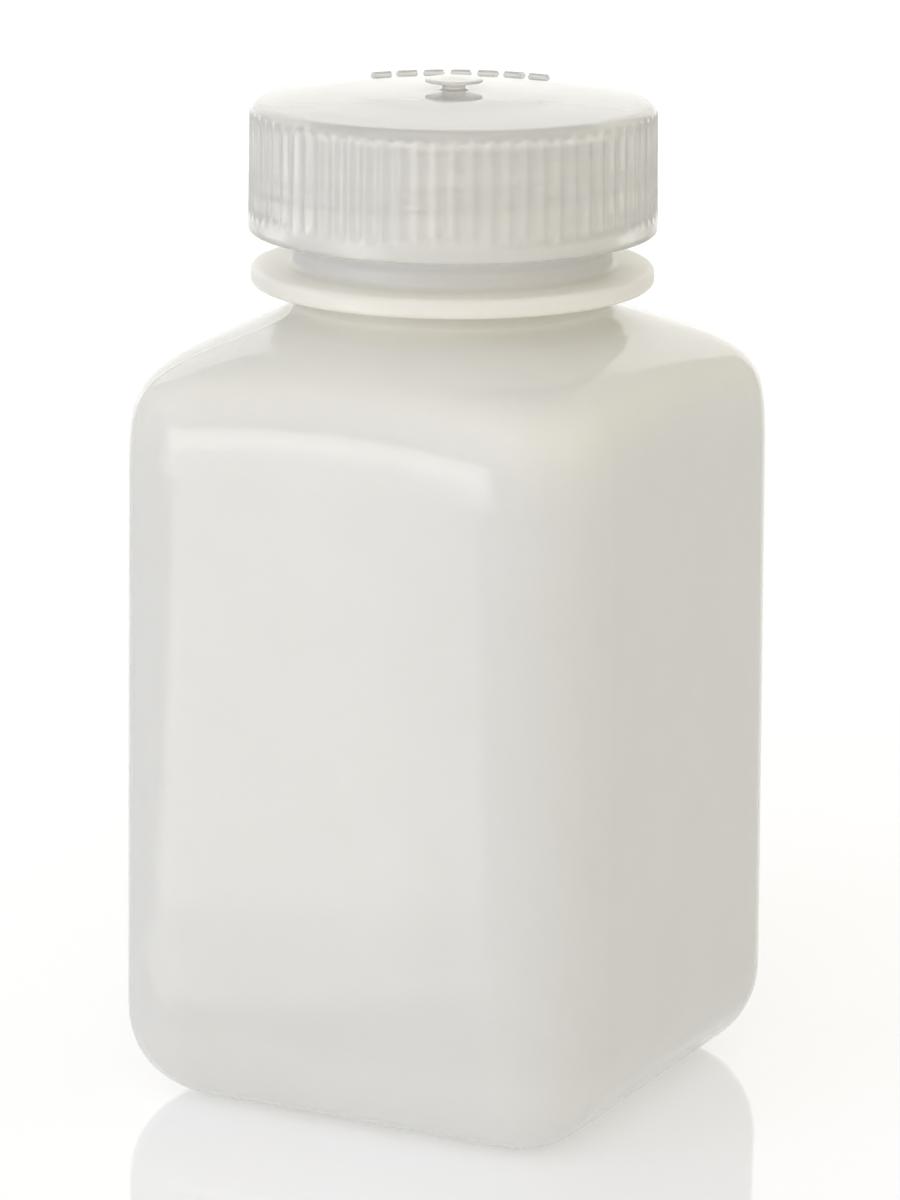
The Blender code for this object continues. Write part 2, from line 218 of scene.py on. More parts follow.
def skin_piece(name, theta, rings, first_pole_z, last_pole_z):
    """One closed skin from a run of (radius, height) rings that starts and ends at a point on the axis."""
    count = len(theta)
    radius = np.array([np.broadcast_to(r, count) for r, _ in rings])
    height = np.array([np.broadcast_to(z, count) for _, z in rings])
    points = np.stack([radius * np.cos(theta), radius * np.sin(theta), height], axis=-1).reshape(-1, 3)
    poles = [[0.0, 0.0, first_pole_z], [0.0, 0.0, last_pole_z]]
    here = np.arange(count)
    after = (here + 1) % count
    row = np.arange(len(rings) - 1)[:, None] * count
    quads = np.stack([row + here, row + after, row + count + after, row + count + here], axis=-1)
    first = np.stack([np.full(count, len(points)), after, here], axis=-1)
    last_row = (len(rings) - 1) * count
    last = np.stack([last_row + here, last_row + after, np.full(count, len(points) + 1)], axis=-1)
    faces = quads.reshape(-1, 4).tolist() + first.tolist() + last.tolist()
    mesh = bpy.data.meshes.new(name)
    mesh.from_pydata(points.tolist() + poles, [], faces)
    mesh.validate()
    mesh.shade_smooth()
    obj = bpy.data.objects.new(name, mesh)
    bpy.context.scene.collection.objects.link(obj)
    return obj


def filleted(corners, arc_steps=ARC_STEPS):
    """A profile of straight runs through (radius, height, fillet) corners, with arcs at the inner ones."""
    points = [Vector(corners[0][:2])]
    for first, corner, last in zip(corners, corners[1:], corners[2:]):
        middle = Vector(corner[:2])
        back = (Vector(first[:2]) - middle).normalized()
        on = (Vector(last[:2]) - middle).normalized()
        if corner[2] == 0.0:
            points.append(middle)
            continue
        half_angle = 0.5 * back.angle(on)
        centre = middle + (back + on).normalized() * corner[2] / math.sin(half_angle)
        start = middle + back * corner[2] / math.tan(half_angle) - centre
        end = middle + on * corner[2] / math.tan(half_angle) - centre
        for step in range(arc_steps + 1):
            points.append(centre + start.slerp(end, step / arc_steps) * corner[2])
    points.append(Vector(corners[-1][:2]))
    return points


def dense(points, longest):
    """The same profile, with points added so that no step is longer than the given length."""
    result = [points[0]]
    for first, second in zip(points, points[1:]):
        parts = max(1, math.ceil((second - first).length / longest - 1e-6))
        result += [first.lerp(second, part / parts) for part in range(1, parts + 1)]
    return result


def thread_share(theta, z, mid_angle, turns):
    """How high the thread's ridge stands at each angle, from 0 on the plain wall to 1 on its crest."""
    share = np.zeros(len(theta))
    lap = (theta - mid_angle) / (2.0 * math.pi)
    lap = lap - np.round(lap)
    for whole in (-2, -1, 0, 1, 2):
        turn = lap + whole
        distance = np.abs(z - THREAD_MID_Z - PITCH * turn)
        flank = smooth_step((THREAD_HALF_ROOT - distance) / (THREAD_HALF_ROOT - THREAD_HALF_CREST))
        runout = smooth_step((0.5 * turns - np.abs(turn)) / THREAD_RUNOUT_TURNS)
        share = np.maximum(share, flank * runout)
    return share


# ---------------------------------------------------------------- bottle


def square_radius(theta, half, corner):
    """Distance from the axis to a square of rounded corners, at each angle."""
    long_side = np.maximum(np.abs(np.cos(theta)), np.abs(np.sin(theta)))
    short_side = np.minimum(np.abs(np.cos(theta)), np.abs(np.sin(theta)))
    flat = half / long_side
    centre = half - corner
    along = centre * (long_side + short_side)
    arc = along + np.sqrt(np.maximum(along**2 - 2.0 * centre**2 + corner**2, 0.0))
    return np.where(flat * short_side > centre, arc, flat)


def dome_radius(z):
    depth_mm = (DOME_TOP_Z - z) / MM
    if depth_mm <= 0.0:
        return WAIST_RADIUS + ROOT_RUNOUT * depth_mm * MM
    return WAIST_RADIUS + DOME_SPREAD_MM * depth_mm**DOME_POWER * MM


def shoulder_radius(theta, z, inset, drop):
    """The dome cut softly by the square body. A drop lowers the dome, for the inner surface."""
    square = square_radius(theta, HALF_WIDTH_SHOULDER - inset, CORNER_RADIUS - inset)
    dome = dome_radius(z + drop)
    return (square**-EDGE_SOFTNESS + dome**-EDGE_SOFTNESS) ** (-1.0 / EDGE_SOFTNESS)


def neck_root_radius(theta, z):
    """The shoulder run into the waist of the neck with a soft hollow."""
    shoulder = shoulder_radius(theta, z, 0.0, 0.0) / WAIST_RADIUS
    return WAIST_RADIUS * (1.0 + shoulder**ROOT_SOFTNESS) ** (1.0 / ROOT_SOFTNESS)


def foot_rings(theta, inset, steps):
    """The foot's fillet, from the standing face up to the side wall."""
    fillet = BASE_FILLET - inset
    rings = []
    for step in range(steps + 1):
        turn = 0.5 * math.pi * step / steps
        in_from_side = fillet * (1.0 - math.sin(turn))
        half = HALF_WIDTH_FOOT - inset - in_from_side
        corner = max(CORNER_RADIUS - inset - in_from_side, FOOT_CORNER_SHARE * CORNER_RADIUS)
        z = bottle_low.z + inset + fillet * (1.0 - math.cos(turn))
        rings.append((square_radius(theta, half, corner), z))
    return rings


def parting_share(theta):
    """How high the parting line stands at each angle, from 0 on the plain wall to 1 on its crest."""
    off_line = np.abs((theta - PARTING_ANGLE + 0.5 * math.pi) % math.pi - 0.5 * math.pi)
    return np.maximum(1.0 - off_line / PARTING_HALF_WIDTH, 0.0)


def pinch_share(theta, radius):
    """How high the pinch-off stands at each angle of a ring under the base, from 0 to 1."""
    off_line = radius * np.abs(np.sin(theta - PARTING_ANGLE))
    return smooth_step(1.0 - off_line / PINCH_HALF_WIDTH)


def shell_angles():
    """Even angles round the bottle, with a few more at the parting line."""
    extra = [
        PARTING_ANGLE + side * math.pi + share * PARTING_HALF_WIDTH
        for side in (0.0, 1.0) for share in (-1.0, -0.5, 0.5, 1.0)
    ]
    return np.sort(np.concatenate([angles(SHELL_COLUMNS), extra]))


def recess_rings(theta):
    """The hollow under the base, from near the axis out to the standing face."""
    floor_z = bottle_low.z
    shapes = []
    for radius_mm in RECESS_RINGS_MM:
        out = radius_mm * MM / RECESS_ROUND_RADIUS
        shapes.append((radius_mm * MM, 1.0 - (1.0 - RECESS_EDGE_SHARE) * out**2))
    bowl = square_radius(theta, RECESS_BOWL_HALF_WIDTH, RECESS_BOWL_CORNER)
    shapes += [(RECESS_ROUND_RADIUS, RECESS_EDGE_SHARE), (bowl, RECESS_BOWL_SHARE)]
    rings = []
    for radius, share in shapes:
        rings.append((radius, floor_z + BASE_RECESS * share - PINCH_HEIGHT * pinch_share(theta, radius)))
    rings.append((square_radius(theta, RECESS_HALF_WIDTH, RECESS_CORNER_SHARE * RECESS_HALF_WIDTH), floor_z))
    return rings


def body_outside(theta):
    rings = foot_rings(theta, 0.0, FOOT_STEPS)
    lowest = square_radius(theta, HALF_WIDTH_FOOT, CORNER_RADIUS)
    highest = shoulder_radius(theta, WALL_TOP_Z, 0.0, 0.0)
    for share in np.linspace(0.0, 1.0, WALL_STEPS + 1)[1:-1]:
        rings.append((lowest + (highest - lowest) * share, WALL_FOOT_Z + (WALL_TOP_Z - WALL_FOOT_Z) * share))
    rounding = np.arange(WALL_TOP_Z, EDGE_START_Z - 0.5 * SHOULDER_STEP, SHOULDER_STEP)
    dome = np.arange(EDGE_START_Z, ROOT_START_Z - 0.5 * EDGE_STEP, EDGE_STEP)
    for z in np.concatenate([rounding, dome]):
        rings.append((shoulder_radius(theta, z, 0.0, 0.0), z))
    for z in np.arange(ROOT_START_Z, ROOT_TOP_Z, ROOT_STEP):
        rings.append((neck_root_radius(theta, z), z))
    ridge = PARTING_HEIGHT * parting_share(theta)
    return recess_rings(theta) + [(radius + ridge, z) for radius, z in rings]


def neck_outside(theta):
    profile = filleted((
        (WAIST_RADIUS, FLANGE_BOTTOM_Z - FLANGE_ROOT, 0.0),
        (WAIST_RADIUS, FLANGE_BOTTOM_Z, FLANGE_UNDERSIDE_SHARE * FLANGE_ROOT),
        (FLANGE_RADIUS, FLANGE_BOTTOM_Z, FLANGE_EDGE),
        (FLANGE_RADIUS, FLANGE_TOP_Z, FLANGE_EDGE),
        (WAIST_RADIUS, FLANGE_TOP_Z, FLANGE_ROOT),
        (WAIST_RADIUS, FINISH_BOTTOM_Z - FINISH_BLEND * (FINISH_RADIUS - WAIST_RADIUS), FINISH_FILLET),
        (FINISH_RADIUS, FINISH_BOTTOM_Z, FINISH_FILLET),
        (FINISH_RADIUS, FINISH_BOTTOM_Z + 0.8 * FINISH_FILLET, 0.0),
    ))
    rings = [(point.x, point.y) for point in dense(profile, NECK_STEP)]
    ridge = NECK_THREAD_CREST - FINISH_RADIUS
    top = RIM_Z - RIM_EDGE
    for z in np.arange(profile[-1].y + NECK_THREAD_STEP, top - 0.5 * NECK_THREAD_STEP, NECK_THREAD_STEP):
        share = thread_share(theta, z, THREAD_MID_ANGLE, NECK_THREAD_TURNS)
        rings.append((FINISH_RADIUS + ridge * share, z))
    return rings


def neck_inside():
    profile = filleted((
        (FINISH_RADIUS, RIM_Z - RIM_EDGE, 0.0),
        (FINISH_RADIUS, RIM_Z, RIM_EDGE),
        (FINISH_BORE, RIM_Z, RIM_EDGE),
        (FINISH_BORE, FINISH_BOTTOM_Z, BORE_FILLET),
        (NECK_BORE, FINISH_BOTTOM_Z - FINISH_BLEND * (FINISH_BORE - NECK_BORE), BORE_FILLET),
        (NECK_BORE, DOME_TOP_Z - 0.5 * SHOULDER_DROP_INSIDE, 0.0),
    ))
    return [(point.x, point.y) for point in dense(profile[1:], NECK_INSIDE_STEP)]


def body_inside(theta):
    rings = []
    for z in np.arange(INSIDE_DOME_TOP_MM, INSIDE_DOME_BOTTOM_MM, -INSIDE_DOME_STEP_MM) * MM:
        radius = shoulder_radius(theta, z, WALL, SHOULDER_DROP_INSIDE)
        rings.append((np.maximum(radius, NECK_BORE), z))
    foot = foot_rings(theta, WALL, INSIDE_FOOT_STEPS)
    foot.reverse()
    lowest_wall = rings[-1]
    for share in np.linspace(0.0, 1.0, INSIDE_WALL_STEPS + 1)[1:-1]:
        radius = lowest_wall[0] + (foot[0][0] - lowest_wall[0]) * share
        rings.append((radius, lowest_wall[1] + (foot[0][1] - lowest_wall[1]) * share))
    rings += foot
    rings.append((RECESS_ROUND_RADIUS, bottle_low.z + RECESS_EDGE_SHARE * BASE_RECESS + WALL))
    return rings


def make_bottle(material):
    theta = shell_angles()
    rings = body_outside(theta) + neck_outside(theta) + neck_inside() + body_inside(theta)
    recess_z = bottle_low.z + BASE_RECESS
    bottle = skin_piece("bottle_shell", theta, rings, recess_z - PINCH_HEIGHT, recess_z + WALL)
    bottle.data.materials.append(material)
    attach(bottle, "bottle")
    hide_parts("bottle")
    return bottle


# ---------------------------------------------------------------- cap


def crown_z(radius):
    return CROWN_EDGE_Z + CROWN_HEIGHT * (1.0 - (radius / CROWN_EDGE_RADIUS) ** 2)


def dash_share(theta, radius):
    """How high the raised dashes stand at each angle of a ring on the crown, from 0 to 1."""
    share = np.zeros(len(theta))
    across = 0.5 * DASH_WIDTH - abs(radius - DASH_RADIUS)
    for i in range(DASH_COUNT):
        middle = DASH_ARC_CENTRE + (i - 0.5 * (DASH_COUNT - 1)) * DASH_STEP
        off = np.abs((theta - middle + math.pi) % (2.0 * math.pi) - math.pi) * DASH_RADIUS
        inside = np.minimum(0.5 * DASH_LENGTH - off, across)
        share = np.maximum(share, smooth_step(inside / DASH_SOFT_EDGE))
    return share


def cap_skirt(theta):
    """Outside of the cap from its bottom edge over the ribs to the start of the smooth crown."""
    top_radius = CAP_RADIUS - CAP_TAPER
    band_top = CAP_BOTTOM_Z + BAND_HEIGHT
    profile = filleted((
        (CAP_BORE + CAP_RIM_FILLET, CAP_BOTTOM_Z, 0.0),
        (CAP_RADIUS, CAP_BOTTOM_Z, CAP_RIM_FILLET),
        (CAP_RADIUS, band_top, 0.0),
        (top_radius, crown_z(top_radius), CAP_TOP_FILLET),
        (CROWN_SMOOTH_RADIUS, crown_z(CROWN_SMOOTH_RADIUS), 0.0),
    ))
    profile = dense(profile, SKIRT_STEP)
    step = 2.0 * math.pi / RIB_COUNT
    off_centre = np.abs(theta / step % 1.0 - 0.5) * 2.0
    groove = (0.5 - 0.5 * np.cos(math.pi * off_centre)) ** RIB_CONVEXITY
    rings = []
    for before, point, after in zip(profile, profile[1:], profile[2:]):
        along = (after - before).normalized()
        inward = Vector((-along.y, along.x))
        over_band = smooth_step((point.y - band_top) / RIB_DEPTH)
        under_edge = smooth_step((RIB_TOP_Z - point.y) / RIB_RUNOUT)
        depth = RIB_DEPTH * over_band * under_edge * groove
        rings.append((point.x + depth * inward.x, point.y + depth * inward.y))
    return rings


def cap_crown(theta):
    radii = np.arange(CROWN_SMOOTH_RADIUS, DASH_RADIUS - DASH_WIDTH, -DASH_RING_STEP)
    rings = [(radius, crown_z(radius) + DASH_HEIGHT * dash_share(theta, radius)) for radius in radii]
    foot_radius = STEM_RADIUS + 2.0 * BUTTON_FOOT
    disc_z = BUTTON_TOP_Z - BUTTON_DISC
    profile = filleted((
        (foot_radius, crown_z(foot_radius), 0.0),
        (STEM_RADIUS, crown_z(STEM_RADIUS), 0.5 * BUTTON_FOOT),
        (STEM_RADIUS, disc_z, 0.5 * BUTTON_FOOT),
        (BUTTON_RADIUS, disc_z, BUTTON_EDGE),
        (BUTTON_RADIUS, BUTTON_TOP_Z, BUTTON_EDGE),
        (AXIS_RADIUS, BUTTON_TOP_Z, 0.0),
    ), BUTTON_ARC_STEPS)
    for radius in np.arange(radii[-1] - 0.5 * CROWN_RING_STEP, profile[0].x + AXIS_RADIUS, -CROWN_RING_STEP):
        rings.append((radius, crown_z(radius)))
    rings += [(point.x, point.y) for point in dense(profile, BUTTON_STEP)]
    return rings


def cap_inside(theta):
    """Ceiling and threaded bore of the cap, from the axis down to its bottom edge."""
    ceiling = filleted((
        (AXIS_RADIUS, CAP_CEILING_Z + CEILING_CROWN, 0.0),
        (CEILING_FLAT_RADIUS, CAP_CEILING_Z + 0.7 * CEILING_CROWN, CEILING_FILLET),
        (CAP_BORE - CEILING_CHAMFER, CAP_CEILING_Z, 1.25 * CEILING_CHAMFER),
        (CAP_BORE, CAP_CEILING_Z - CEILING_CHAMFER, 0.625 * CEILING_CHAMFER),
        (CAP_BORE, CAP_CEILING_Z - 2.0 * CEILING_CHAMFER, 0.0),
    ))
    rings = [(point.x, point.y) for point in dense(ceiling, CEILING_STEP)]
    ridge = CAP_BORE - CAP_THREAD_CREST
    top = CAP_CEILING_Z - 2.0 * CEILING_CHAMFER - 0.5 * CAP_THREAD_STEP
    for z in np.arange(top, CAP_BOTTOM_Z + 2.0 * CAP_THREAD_STEP, -CAP_THREAD_STEP):
        share = thread_share(theta, z, THREAD_MID_ANGLE - math.pi, CAP_THREAD_TURNS)
        rings.append((CAP_BORE - ridge * share, z))
    rings += [(CAP_BORE, CAP_BOTTOM_Z + 0.5 * MM), (CAP_BORE + 0.1 * MM, CAP_BOTTOM_Z + 0.15 * MM)]
    return rings


def make_cap(material):
    theta = angles(RIB_COUNT * RIB_SAMPLES)
    rings = cap_inside(theta) + cap_skirt(theta) + cap_crown(theta)
    cap = skin_piece("ribbed_cap", theta, rings, CAP_CEILING_Z + CEILING_CROWN, BUTTON_TOP_Z)
    cap.data.materials.append(material)
    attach(cap, "cap")
    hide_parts("screw_cap")
    return cap


def make_liner(material):
    theta = angles(LINER_COLUMNS)
    profile = filleted((
        (AXIS_RADIUS, liner_low.z, 0.0),
        (LINER_RADIUS, liner_low.z, LINER_EDGE),
        (LINER_RADIUS, liner_high.z, LINER_EDGE),
        (AXIS_RADIUS, liner_high.z, 0.0),
    ))
    rings = [(point.x, point.y) for point in dense(profile, LINER_STEP)]
    liner = skin_piece("foam_liner", theta, rings, liner_low.z, liner_high.z)
    liner.data.materials.append(material)
    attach(liner, "liner")
    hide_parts("seal_liner")
    return liner


# ---------------------------------------------------------------- materials

# Each pair of tints is the darker and the lighter end of a slow cloudy change.
BODY_TINTS = ((0.896, 0.878, 0.792), (0.926, 0.910, 0.830))
# The flange's tints are darker than the body's: painted shade for the shade under the cap.
FLANGE_PAINTED_SHADE_TINTS = ((0.745, 0.738, 0.712), (0.770, 0.763, 0.737))
# The neck's tints are paler than the body's: painted light that lifts the shade in the hollow under the cap.
NECK_PAINTED_LIGHT_TINTS = ((0.970, 0.962, 0.925), (0.990, 0.982, 0.945))
CAP_TINTS = ((0.98, 0.98, 0.965), (0.995, 0.995, 0.985))
# The band's tints are darker than the rest of the cap's: painted shade on the cap's lower edge.
BAND_PAINTED_SHADE_TINTS = ((0.92, 0.92, 0.90), (0.94, 0.94, 0.92))
CAP_CLEARNESS = 0.60
MILKY_DEPTH = 4.5 * MM

# The middle stretch of a noise's values, where nearly all of them lie.
MIDDLE = (0.3, 0.7)


def greys(dark, light):
    return (dark,) * 3, (light,) * 3


def new_material(name):
    material = bpy.data.materials.new(name)
    material.use_nodes = True
    tree = material.node_tree
    return material, tree, tree.nodes["Principled BSDF"]


def noise(tree, coords, scale, detail=2.0, roughness=0.5):
    node = tree.nodes.new("ShaderNodeTexNoise")
    node.inputs["Scale"].default_value = scale
    node.inputs["Detail"].default_value = detail
    node.inputs["Roughness"].default_value = roughness
    tree.links.new(coords, node.inputs["Vector"])
    return node.outputs["Fac"]


def ramp(tree, value, low, high, colours):
    """A smooth change between two colours, or two greys, as value goes from low to high."""
    node = tree.nodes.new("ShaderNodeValToRGB")
    node.color_ramp.elements[0].position = low
    node.color_ramp.elements[1].position = high
    for element, colour in zip(node.color_ramp.elements, colours):
        element.color = (*colour, 1.0)
    tree.links.new(value, node.inputs["Fac"])
    return node.outputs["Color"]


def bump(tree, height, strength, distance, under=None):
    node = tree.nodes.new("ShaderNodeBump")
    node.inputs["Strength"].default_value = strength
    node.inputs["Distance"].default_value = distance
    tree.links.new(height, node.inputs["Height"])
    if under is not None:
        tree.links.new(under, node.inputs["Normal"])
    return node.outputs["Normal"]


def stretched(tree, coords, scale):
    """The same coordinates scaled along each axis. A small factor draws a texture out along its axis."""
    node = tree.nodes.new("ShaderNodeMapping")
    node.inputs["Scale"].default_value = scale
    tree.links.new(coords, node.inputs["Vector"])
    return node.outputs["Vector"]


def mixed(tree, value, low, high, first, second):
    """One colour where value is under low, another where it is over high, and a change between them."""
    share = tree.nodes.new("ShaderNodeMapRange")
    share.inputs["From Min"].default_value = low
    share.inputs["From Max"].default_value = high
    tree.links.new(value, share.inputs["Value"])
    mix = tree.nodes.new("ShaderNodeMix")
    mix.data_type = "RGBA"
    tree.links.new(share.outputs["Result"], mix.inputs["Factor"])
    tree.links.new(first, mix.inputs["A"])
    tree.links.new(second, mix.inputs["B"])
    return mix.outputs["Result"]


def by_height(tree, coords, low, high, below, above):
    """One colour below a height and another above it, with a soft change between them."""
    split = tree.nodes.new("ShaderNodeSeparateXYZ")
    tree.links.new(coords, split.inputs["Vector"])
    return mixed(tree, split.outputs["Z"], low, high, below, above)


def finely_grained(tree, coords, shader, wave, grain):
    """Slow waves and a fine grain in the surface, each as the scale, strength and depth of its noise."""
    scale, strength, depth = wave
    waves = bump(tree, noise(tree, coords, scale), strength, depth)
    scale, strength, depth = grain
    fine = bump(tree, noise(tree, coords, scale, 3.0), strength, depth, waves)
    tree.links.new(fine, shader.inputs["Normal"])


def hdpe_tint_with_painted_light_and_shade(tree, coords):
    """Cloudy tint of the body, with painted shade on the flange, which is darker, and painted light on the
    neck under the cap, which is paler.
    """
    cloud = noise(tree, coords, 55.0)
    body = ramp(tree, cloud, *MIDDLE, BODY_TINTS)
    # Painted shade: the flange gets the darker tints.
    flange = ramp(tree, cloud, *MIDDLE, FLANGE_PAINTED_SHADE_TINTS)
    # Painted light: the neck above the flange gets the paler tints.
    neck = ramp(tree, cloud, *MIDDLE, NECK_PAINTED_LIGHT_TINTS)
    tint = by_height(tree, coords, FLANGE_BOTTOM_Z - FLANGE_ROOT, FLANGE_BOTTOM_Z, body, flange)
    return by_height(tree, coords, FLANGE_TOP_Z - 0.3 * FLANGE_ROOT, FLANGE_TOP_Z + FLANGE_ROOT, tint, neck)


def hdpe_roughness(tree, coords):
    """Glossy walls with patches of faint upright scuffs, a rubbed foot, and a duller neck and flange."""
    moulded = ramp(tree, noise(tree, coords, 140.0, 4.0), *MIDDLE, greys(0.08, 0.12))
    scuffs = noise(tree, stretched(tree, coords, (1.0, 1.0, 0.12)), 420.0, 6.0, 0.7)
    scuffed = ramp(tree, scuffs, 0.58, 0.70, greys(0.08, 0.26))
    rubbed = ramp(tree, noise(tree, coords, 900.0, 5.0, 0.7), 0.35, 0.65, greys(0.15, 0.26))
    walls = mixed(tree, noise(tree, coords, 28.0), 0.50, 0.66, moulded, scuffed)
    walls = by_height(tree, coords, 0.0, WEAR_TOP_Z, rubbed, walls)
    matt = ramp(tree, noise(tree, coords, 200.0, 4.0), *MIDDLE, greys(0.29, 0.37))
    return by_height(tree, coords, FLANGE_BOTTOM_Z - FLANGE_ROOT, FLANGE_BOTTOM_Z + FLANGE_EDGE, walls, matt)


def hdpe():
    """Natural polyethylene: milky, softly glossy, with slow tint changes and a very fine moulded grain."""
    material, tree, shader = new_material("natural_hdpe")
    coords = tree.nodes.new("ShaderNodeTexCoord").outputs["Object"]
    tree.links.new(hdpe_tint_with_painted_light_and_shade(tree, coords), shader.inputs["Base Color"])
    tree.links.new(hdpe_roughness(tree, coords), shader.inputs["Roughness"])
    finely_grained(tree, coords, shader, (70.0, 0.25, 0.4 * MM), (2200.0, 0.10, 0.03 * MM))
    shader.inputs["Subsurface Weight"].default_value = 1.0
    shader.inputs["Subsurface Radius"].default_value = (1.0, 0.95, 0.85)
    shader.inputs["Subsurface Scale"].default_value = MILKY_DEPTH
    shader.inputs["IOR"].default_value = 1.53
    return material


def polypropylene():
    """Natural polypropylene: hazy and half clear, so that the thread shows through, with a glossy crown."""
    material, tree, shader = new_material("natural_polypropylene")
    coords = tree.nodes.new("ShaderNodeTexCoord").outputs["Object"]
    cloud = noise(tree, coords, 90.0)
    tint = ramp(tree, cloud, *MIDDLE, CAP_TINTS)
    # Painted shade: the lower half of the plain band is darker.
    band_painted_shade = ramp(tree, cloud, *MIDDLE, BAND_PAINTED_SHADE_TINTS)
    band_top = CAP_BOTTOM_Z + BAND_HEIGHT
    tint = by_height(tree, coords, band_top - 0.5 * BAND_HEIGHT, band_top, band_painted_shade, tint)
    tree.links.new(tint, shader.inputs["Base Color"])
    fine = noise(tree, coords, 260.0, 4.0)
    skirt = ramp(tree, fine, *MIDDLE, greys(0.10, 0.15))
    crown = ramp(tree, fine, *MIDDLE, greys(0.04, 0.07))
    sheen = by_height(tree, coords, CROWN_EDGE_Z - 1.5 * MM, CROWN_EDGE_Z - 0.3 * MM, skirt, crown)
    tree.links.new(sheen, shader.inputs["Roughness"])
    finely_grained(tree, coords, shader, (160.0, 0.15, 0.2 * MM), (2600.0, 0.06, 0.03 * MM))
    shader.inputs["Transmission Weight"].default_value = CAP_CLEARNESS
    shader.inputs["IOR"].default_value = 1.49
    return material


def liner_foam():
    """White closed-cell foam with fine cells."""
    material, tree, shader = new_material("white_liner_foam")
    coords = tree.nodes.new("ShaderNodeTexCoord").outputs["Object"]
    cells = tree.nodes.new("ShaderNodeTexVoronoi")
    cells.inputs["Scale"].default_value = 2400.0
    tree.links.new(coords, cells.inputs["Vector"])
    tint = ramp(tree, cells.outputs["Distance"], 0.0, 0.8, ((0.93, 0.93, 0.91), (0.82, 0.82, 0.80)))
    tree.links.new(tint, shader.inputs["Base Color"])
    sheen = ramp(tree, noise(tree, coords, 300.0), *MIDDLE, greys(0.55, 0.68))
    tree.links.new(sheen, shader.inputs["Roughness"])
    tree.links.new(bump(tree, cells.outputs["Distance"], 0.4, 0.05 * MM), shader.inputs["Normal"])
    return material


# ---------------------------------------------------------------- studio

CAMERA_DISTANCE = 0.6551
CAMERA_AZIMUTH = math.radians(27.28)
CAMERA_HEIGHT = 0.2284
CAMERA_TARGET = Vector((0.0, 0.0, 0.060))
CAMERA_ROLL = math.radians(0.41)
CAMERA_LENS = 156.6
CAMERA_SHIFT_Y = 0.0230
FLOOR_SIZE = 8.0
FLOOR_GAP = 0.05 * MM
FLOOR_COLOUR = (0.76, 0.775, 0.835, 1.0)
FLOOR_EMISSION = 0.19

# Soft lights: name, compass angle, lowest and highest edge, radiance.
SOFT_LIGHT_DISTANCE = 1.2
SOFT_LIGHT_HALF_ANGLE = 15.0
SOFT_LIGHTS = (
    ("front_right", -30.0, 0.10, 0.65, (0.42, 0.24, 0.02)),
    ("front", -60.0, 0.08, 0.65, (1.06, 0.90, 0.60)),
    ("left_front", -90.0, 0.06, 0.65, (1.27, 1.20, 1.22)),
    ("left", -120.0, 0.06, 0.65, (0.90, 0.93, 1.10)),
    ("left_back", -150.0, 0.08, 0.65, (0.04, 0.07, 0.14)),
    ("back", 120.0, 0.08, 0.65, (0.45, 0.45, 0.48)),
)

# The bright floor to the left of the bottle: nearest and farthest edge, half width, strength of each strip.
# A strip is three layers of different widths, one above the other, so that its long edges fade out.
GLOW_AZIMUTH = -119.0
GLOW_TINT = (1.0, 0.97, 0.91)
GLOW_SPREADS = (0.50, 0.75, 1.00)
FLOOR_GLOW = (
    (0.075, 0.120, 0.055, 1.0),
    (0.120, 0.450, 0.062, 1.8),
    (0.450, 2.000, 0.220, 1.9),
)
GLOW_LIFT = 3.0 * MM
GLOW_LAYER_GAP = 1.0 * MM

# Upright boxes that only show in gloss: name, compass angle, half angle, distance, lower and upper edge,
# radiance.
GLOW_BOXES = (
    ("glow_low", -119.0, 17.0, 2.0, 0.002, 0.16, (2.2, 2.15, 2.10)),
    ("glow_mid", -118.0, 20.0, 1.2, 0.16, 0.5, (0.20, 0.20, 0.20)),
    ("glow_back", 120.0, 35.0, 1.5, 0.002, 1.30, (0.61, 0.61, 0.65)),
)
BODY_MIDDLE = Vector((0.0, 0.0, 0.07))

# Soft lights from above: name, place of the middle, radiance.
HIGH_LIGHT_SIZE = 0.55
HIGH_LIGHTS = (
    ("high_left", Vector((-0.40, -0.70, 0.96)), (0.28, 0.33, 0.56)),
    ("high_front", Vector((0.24, -0.74, 0.90)), (0.42, 0.50, 0.84)),
)
WORLD_RADIANCE = (0.74, 0.72, 0.64)


def make_camera():
    data = bpy.data.cameras.new("camera")
    data.lens = CAMERA_LENS
    data.sensor_width = 36.0
    data.shift_y = CAMERA_SHIFT_Y
    data.clip_start = 0.01
    camera = bpy.data.objects.new("camera", data)
    bpy.context.scene.collection.objects.link(camera)
    spot = Vector((
        CAMERA_DISTANCE * math.sin(CAMERA_AZIMUTH), -CAMERA_DISTANCE * math.cos(CAMERA_AZIMUTH), CAMERA_HEIGHT
    ))
    ahead = (CAMERA_TARGET - spot).normalized()
    right = ahead.cross(Vector((0.0, 0.0, 1.0))).normalized()
    up = right.cross(ahead)
    rolled_right = right * math.cos(CAMERA_ROLL) + up * math.sin(CAMERA_ROLL)
    rolled_up = up * math.cos(CAMERA_ROLL) - right * math.sin(CAMERA_ROLL)
    axes = Matrix((rolled_right, rolled_up, -ahead)).transposed()
    camera.matrix_world = Matrix.Translation(spot) @ axes.to_4x4()
    bpy.context.scene.camera = camera


def softbox(name, size, radiance, seen_in_gloss):
    """An even rectangle of light. It either lights surfaces softly or only shows in their gloss."""
    data = bpy.data.lights.new(name, "AREA")
    data.shape = "RECTANGLE"
    data.size, data.size_y = size
    brightest = max(radiance)
    data.energy = math.pi * size[0] * size[1] * brightest
    data.color = [channel / brightest for channel in radiance]
    light = bpy.data.objects.new(name, data)
    bpy.context.scene.collection.objects.link(light)
    light.visible_camera = False
    light.visible_glossy = seen_in_gloss
    light.visible_diffuse = not seen_in_gloss
    light.visible_transmission = not seen_in_gloss
    return light


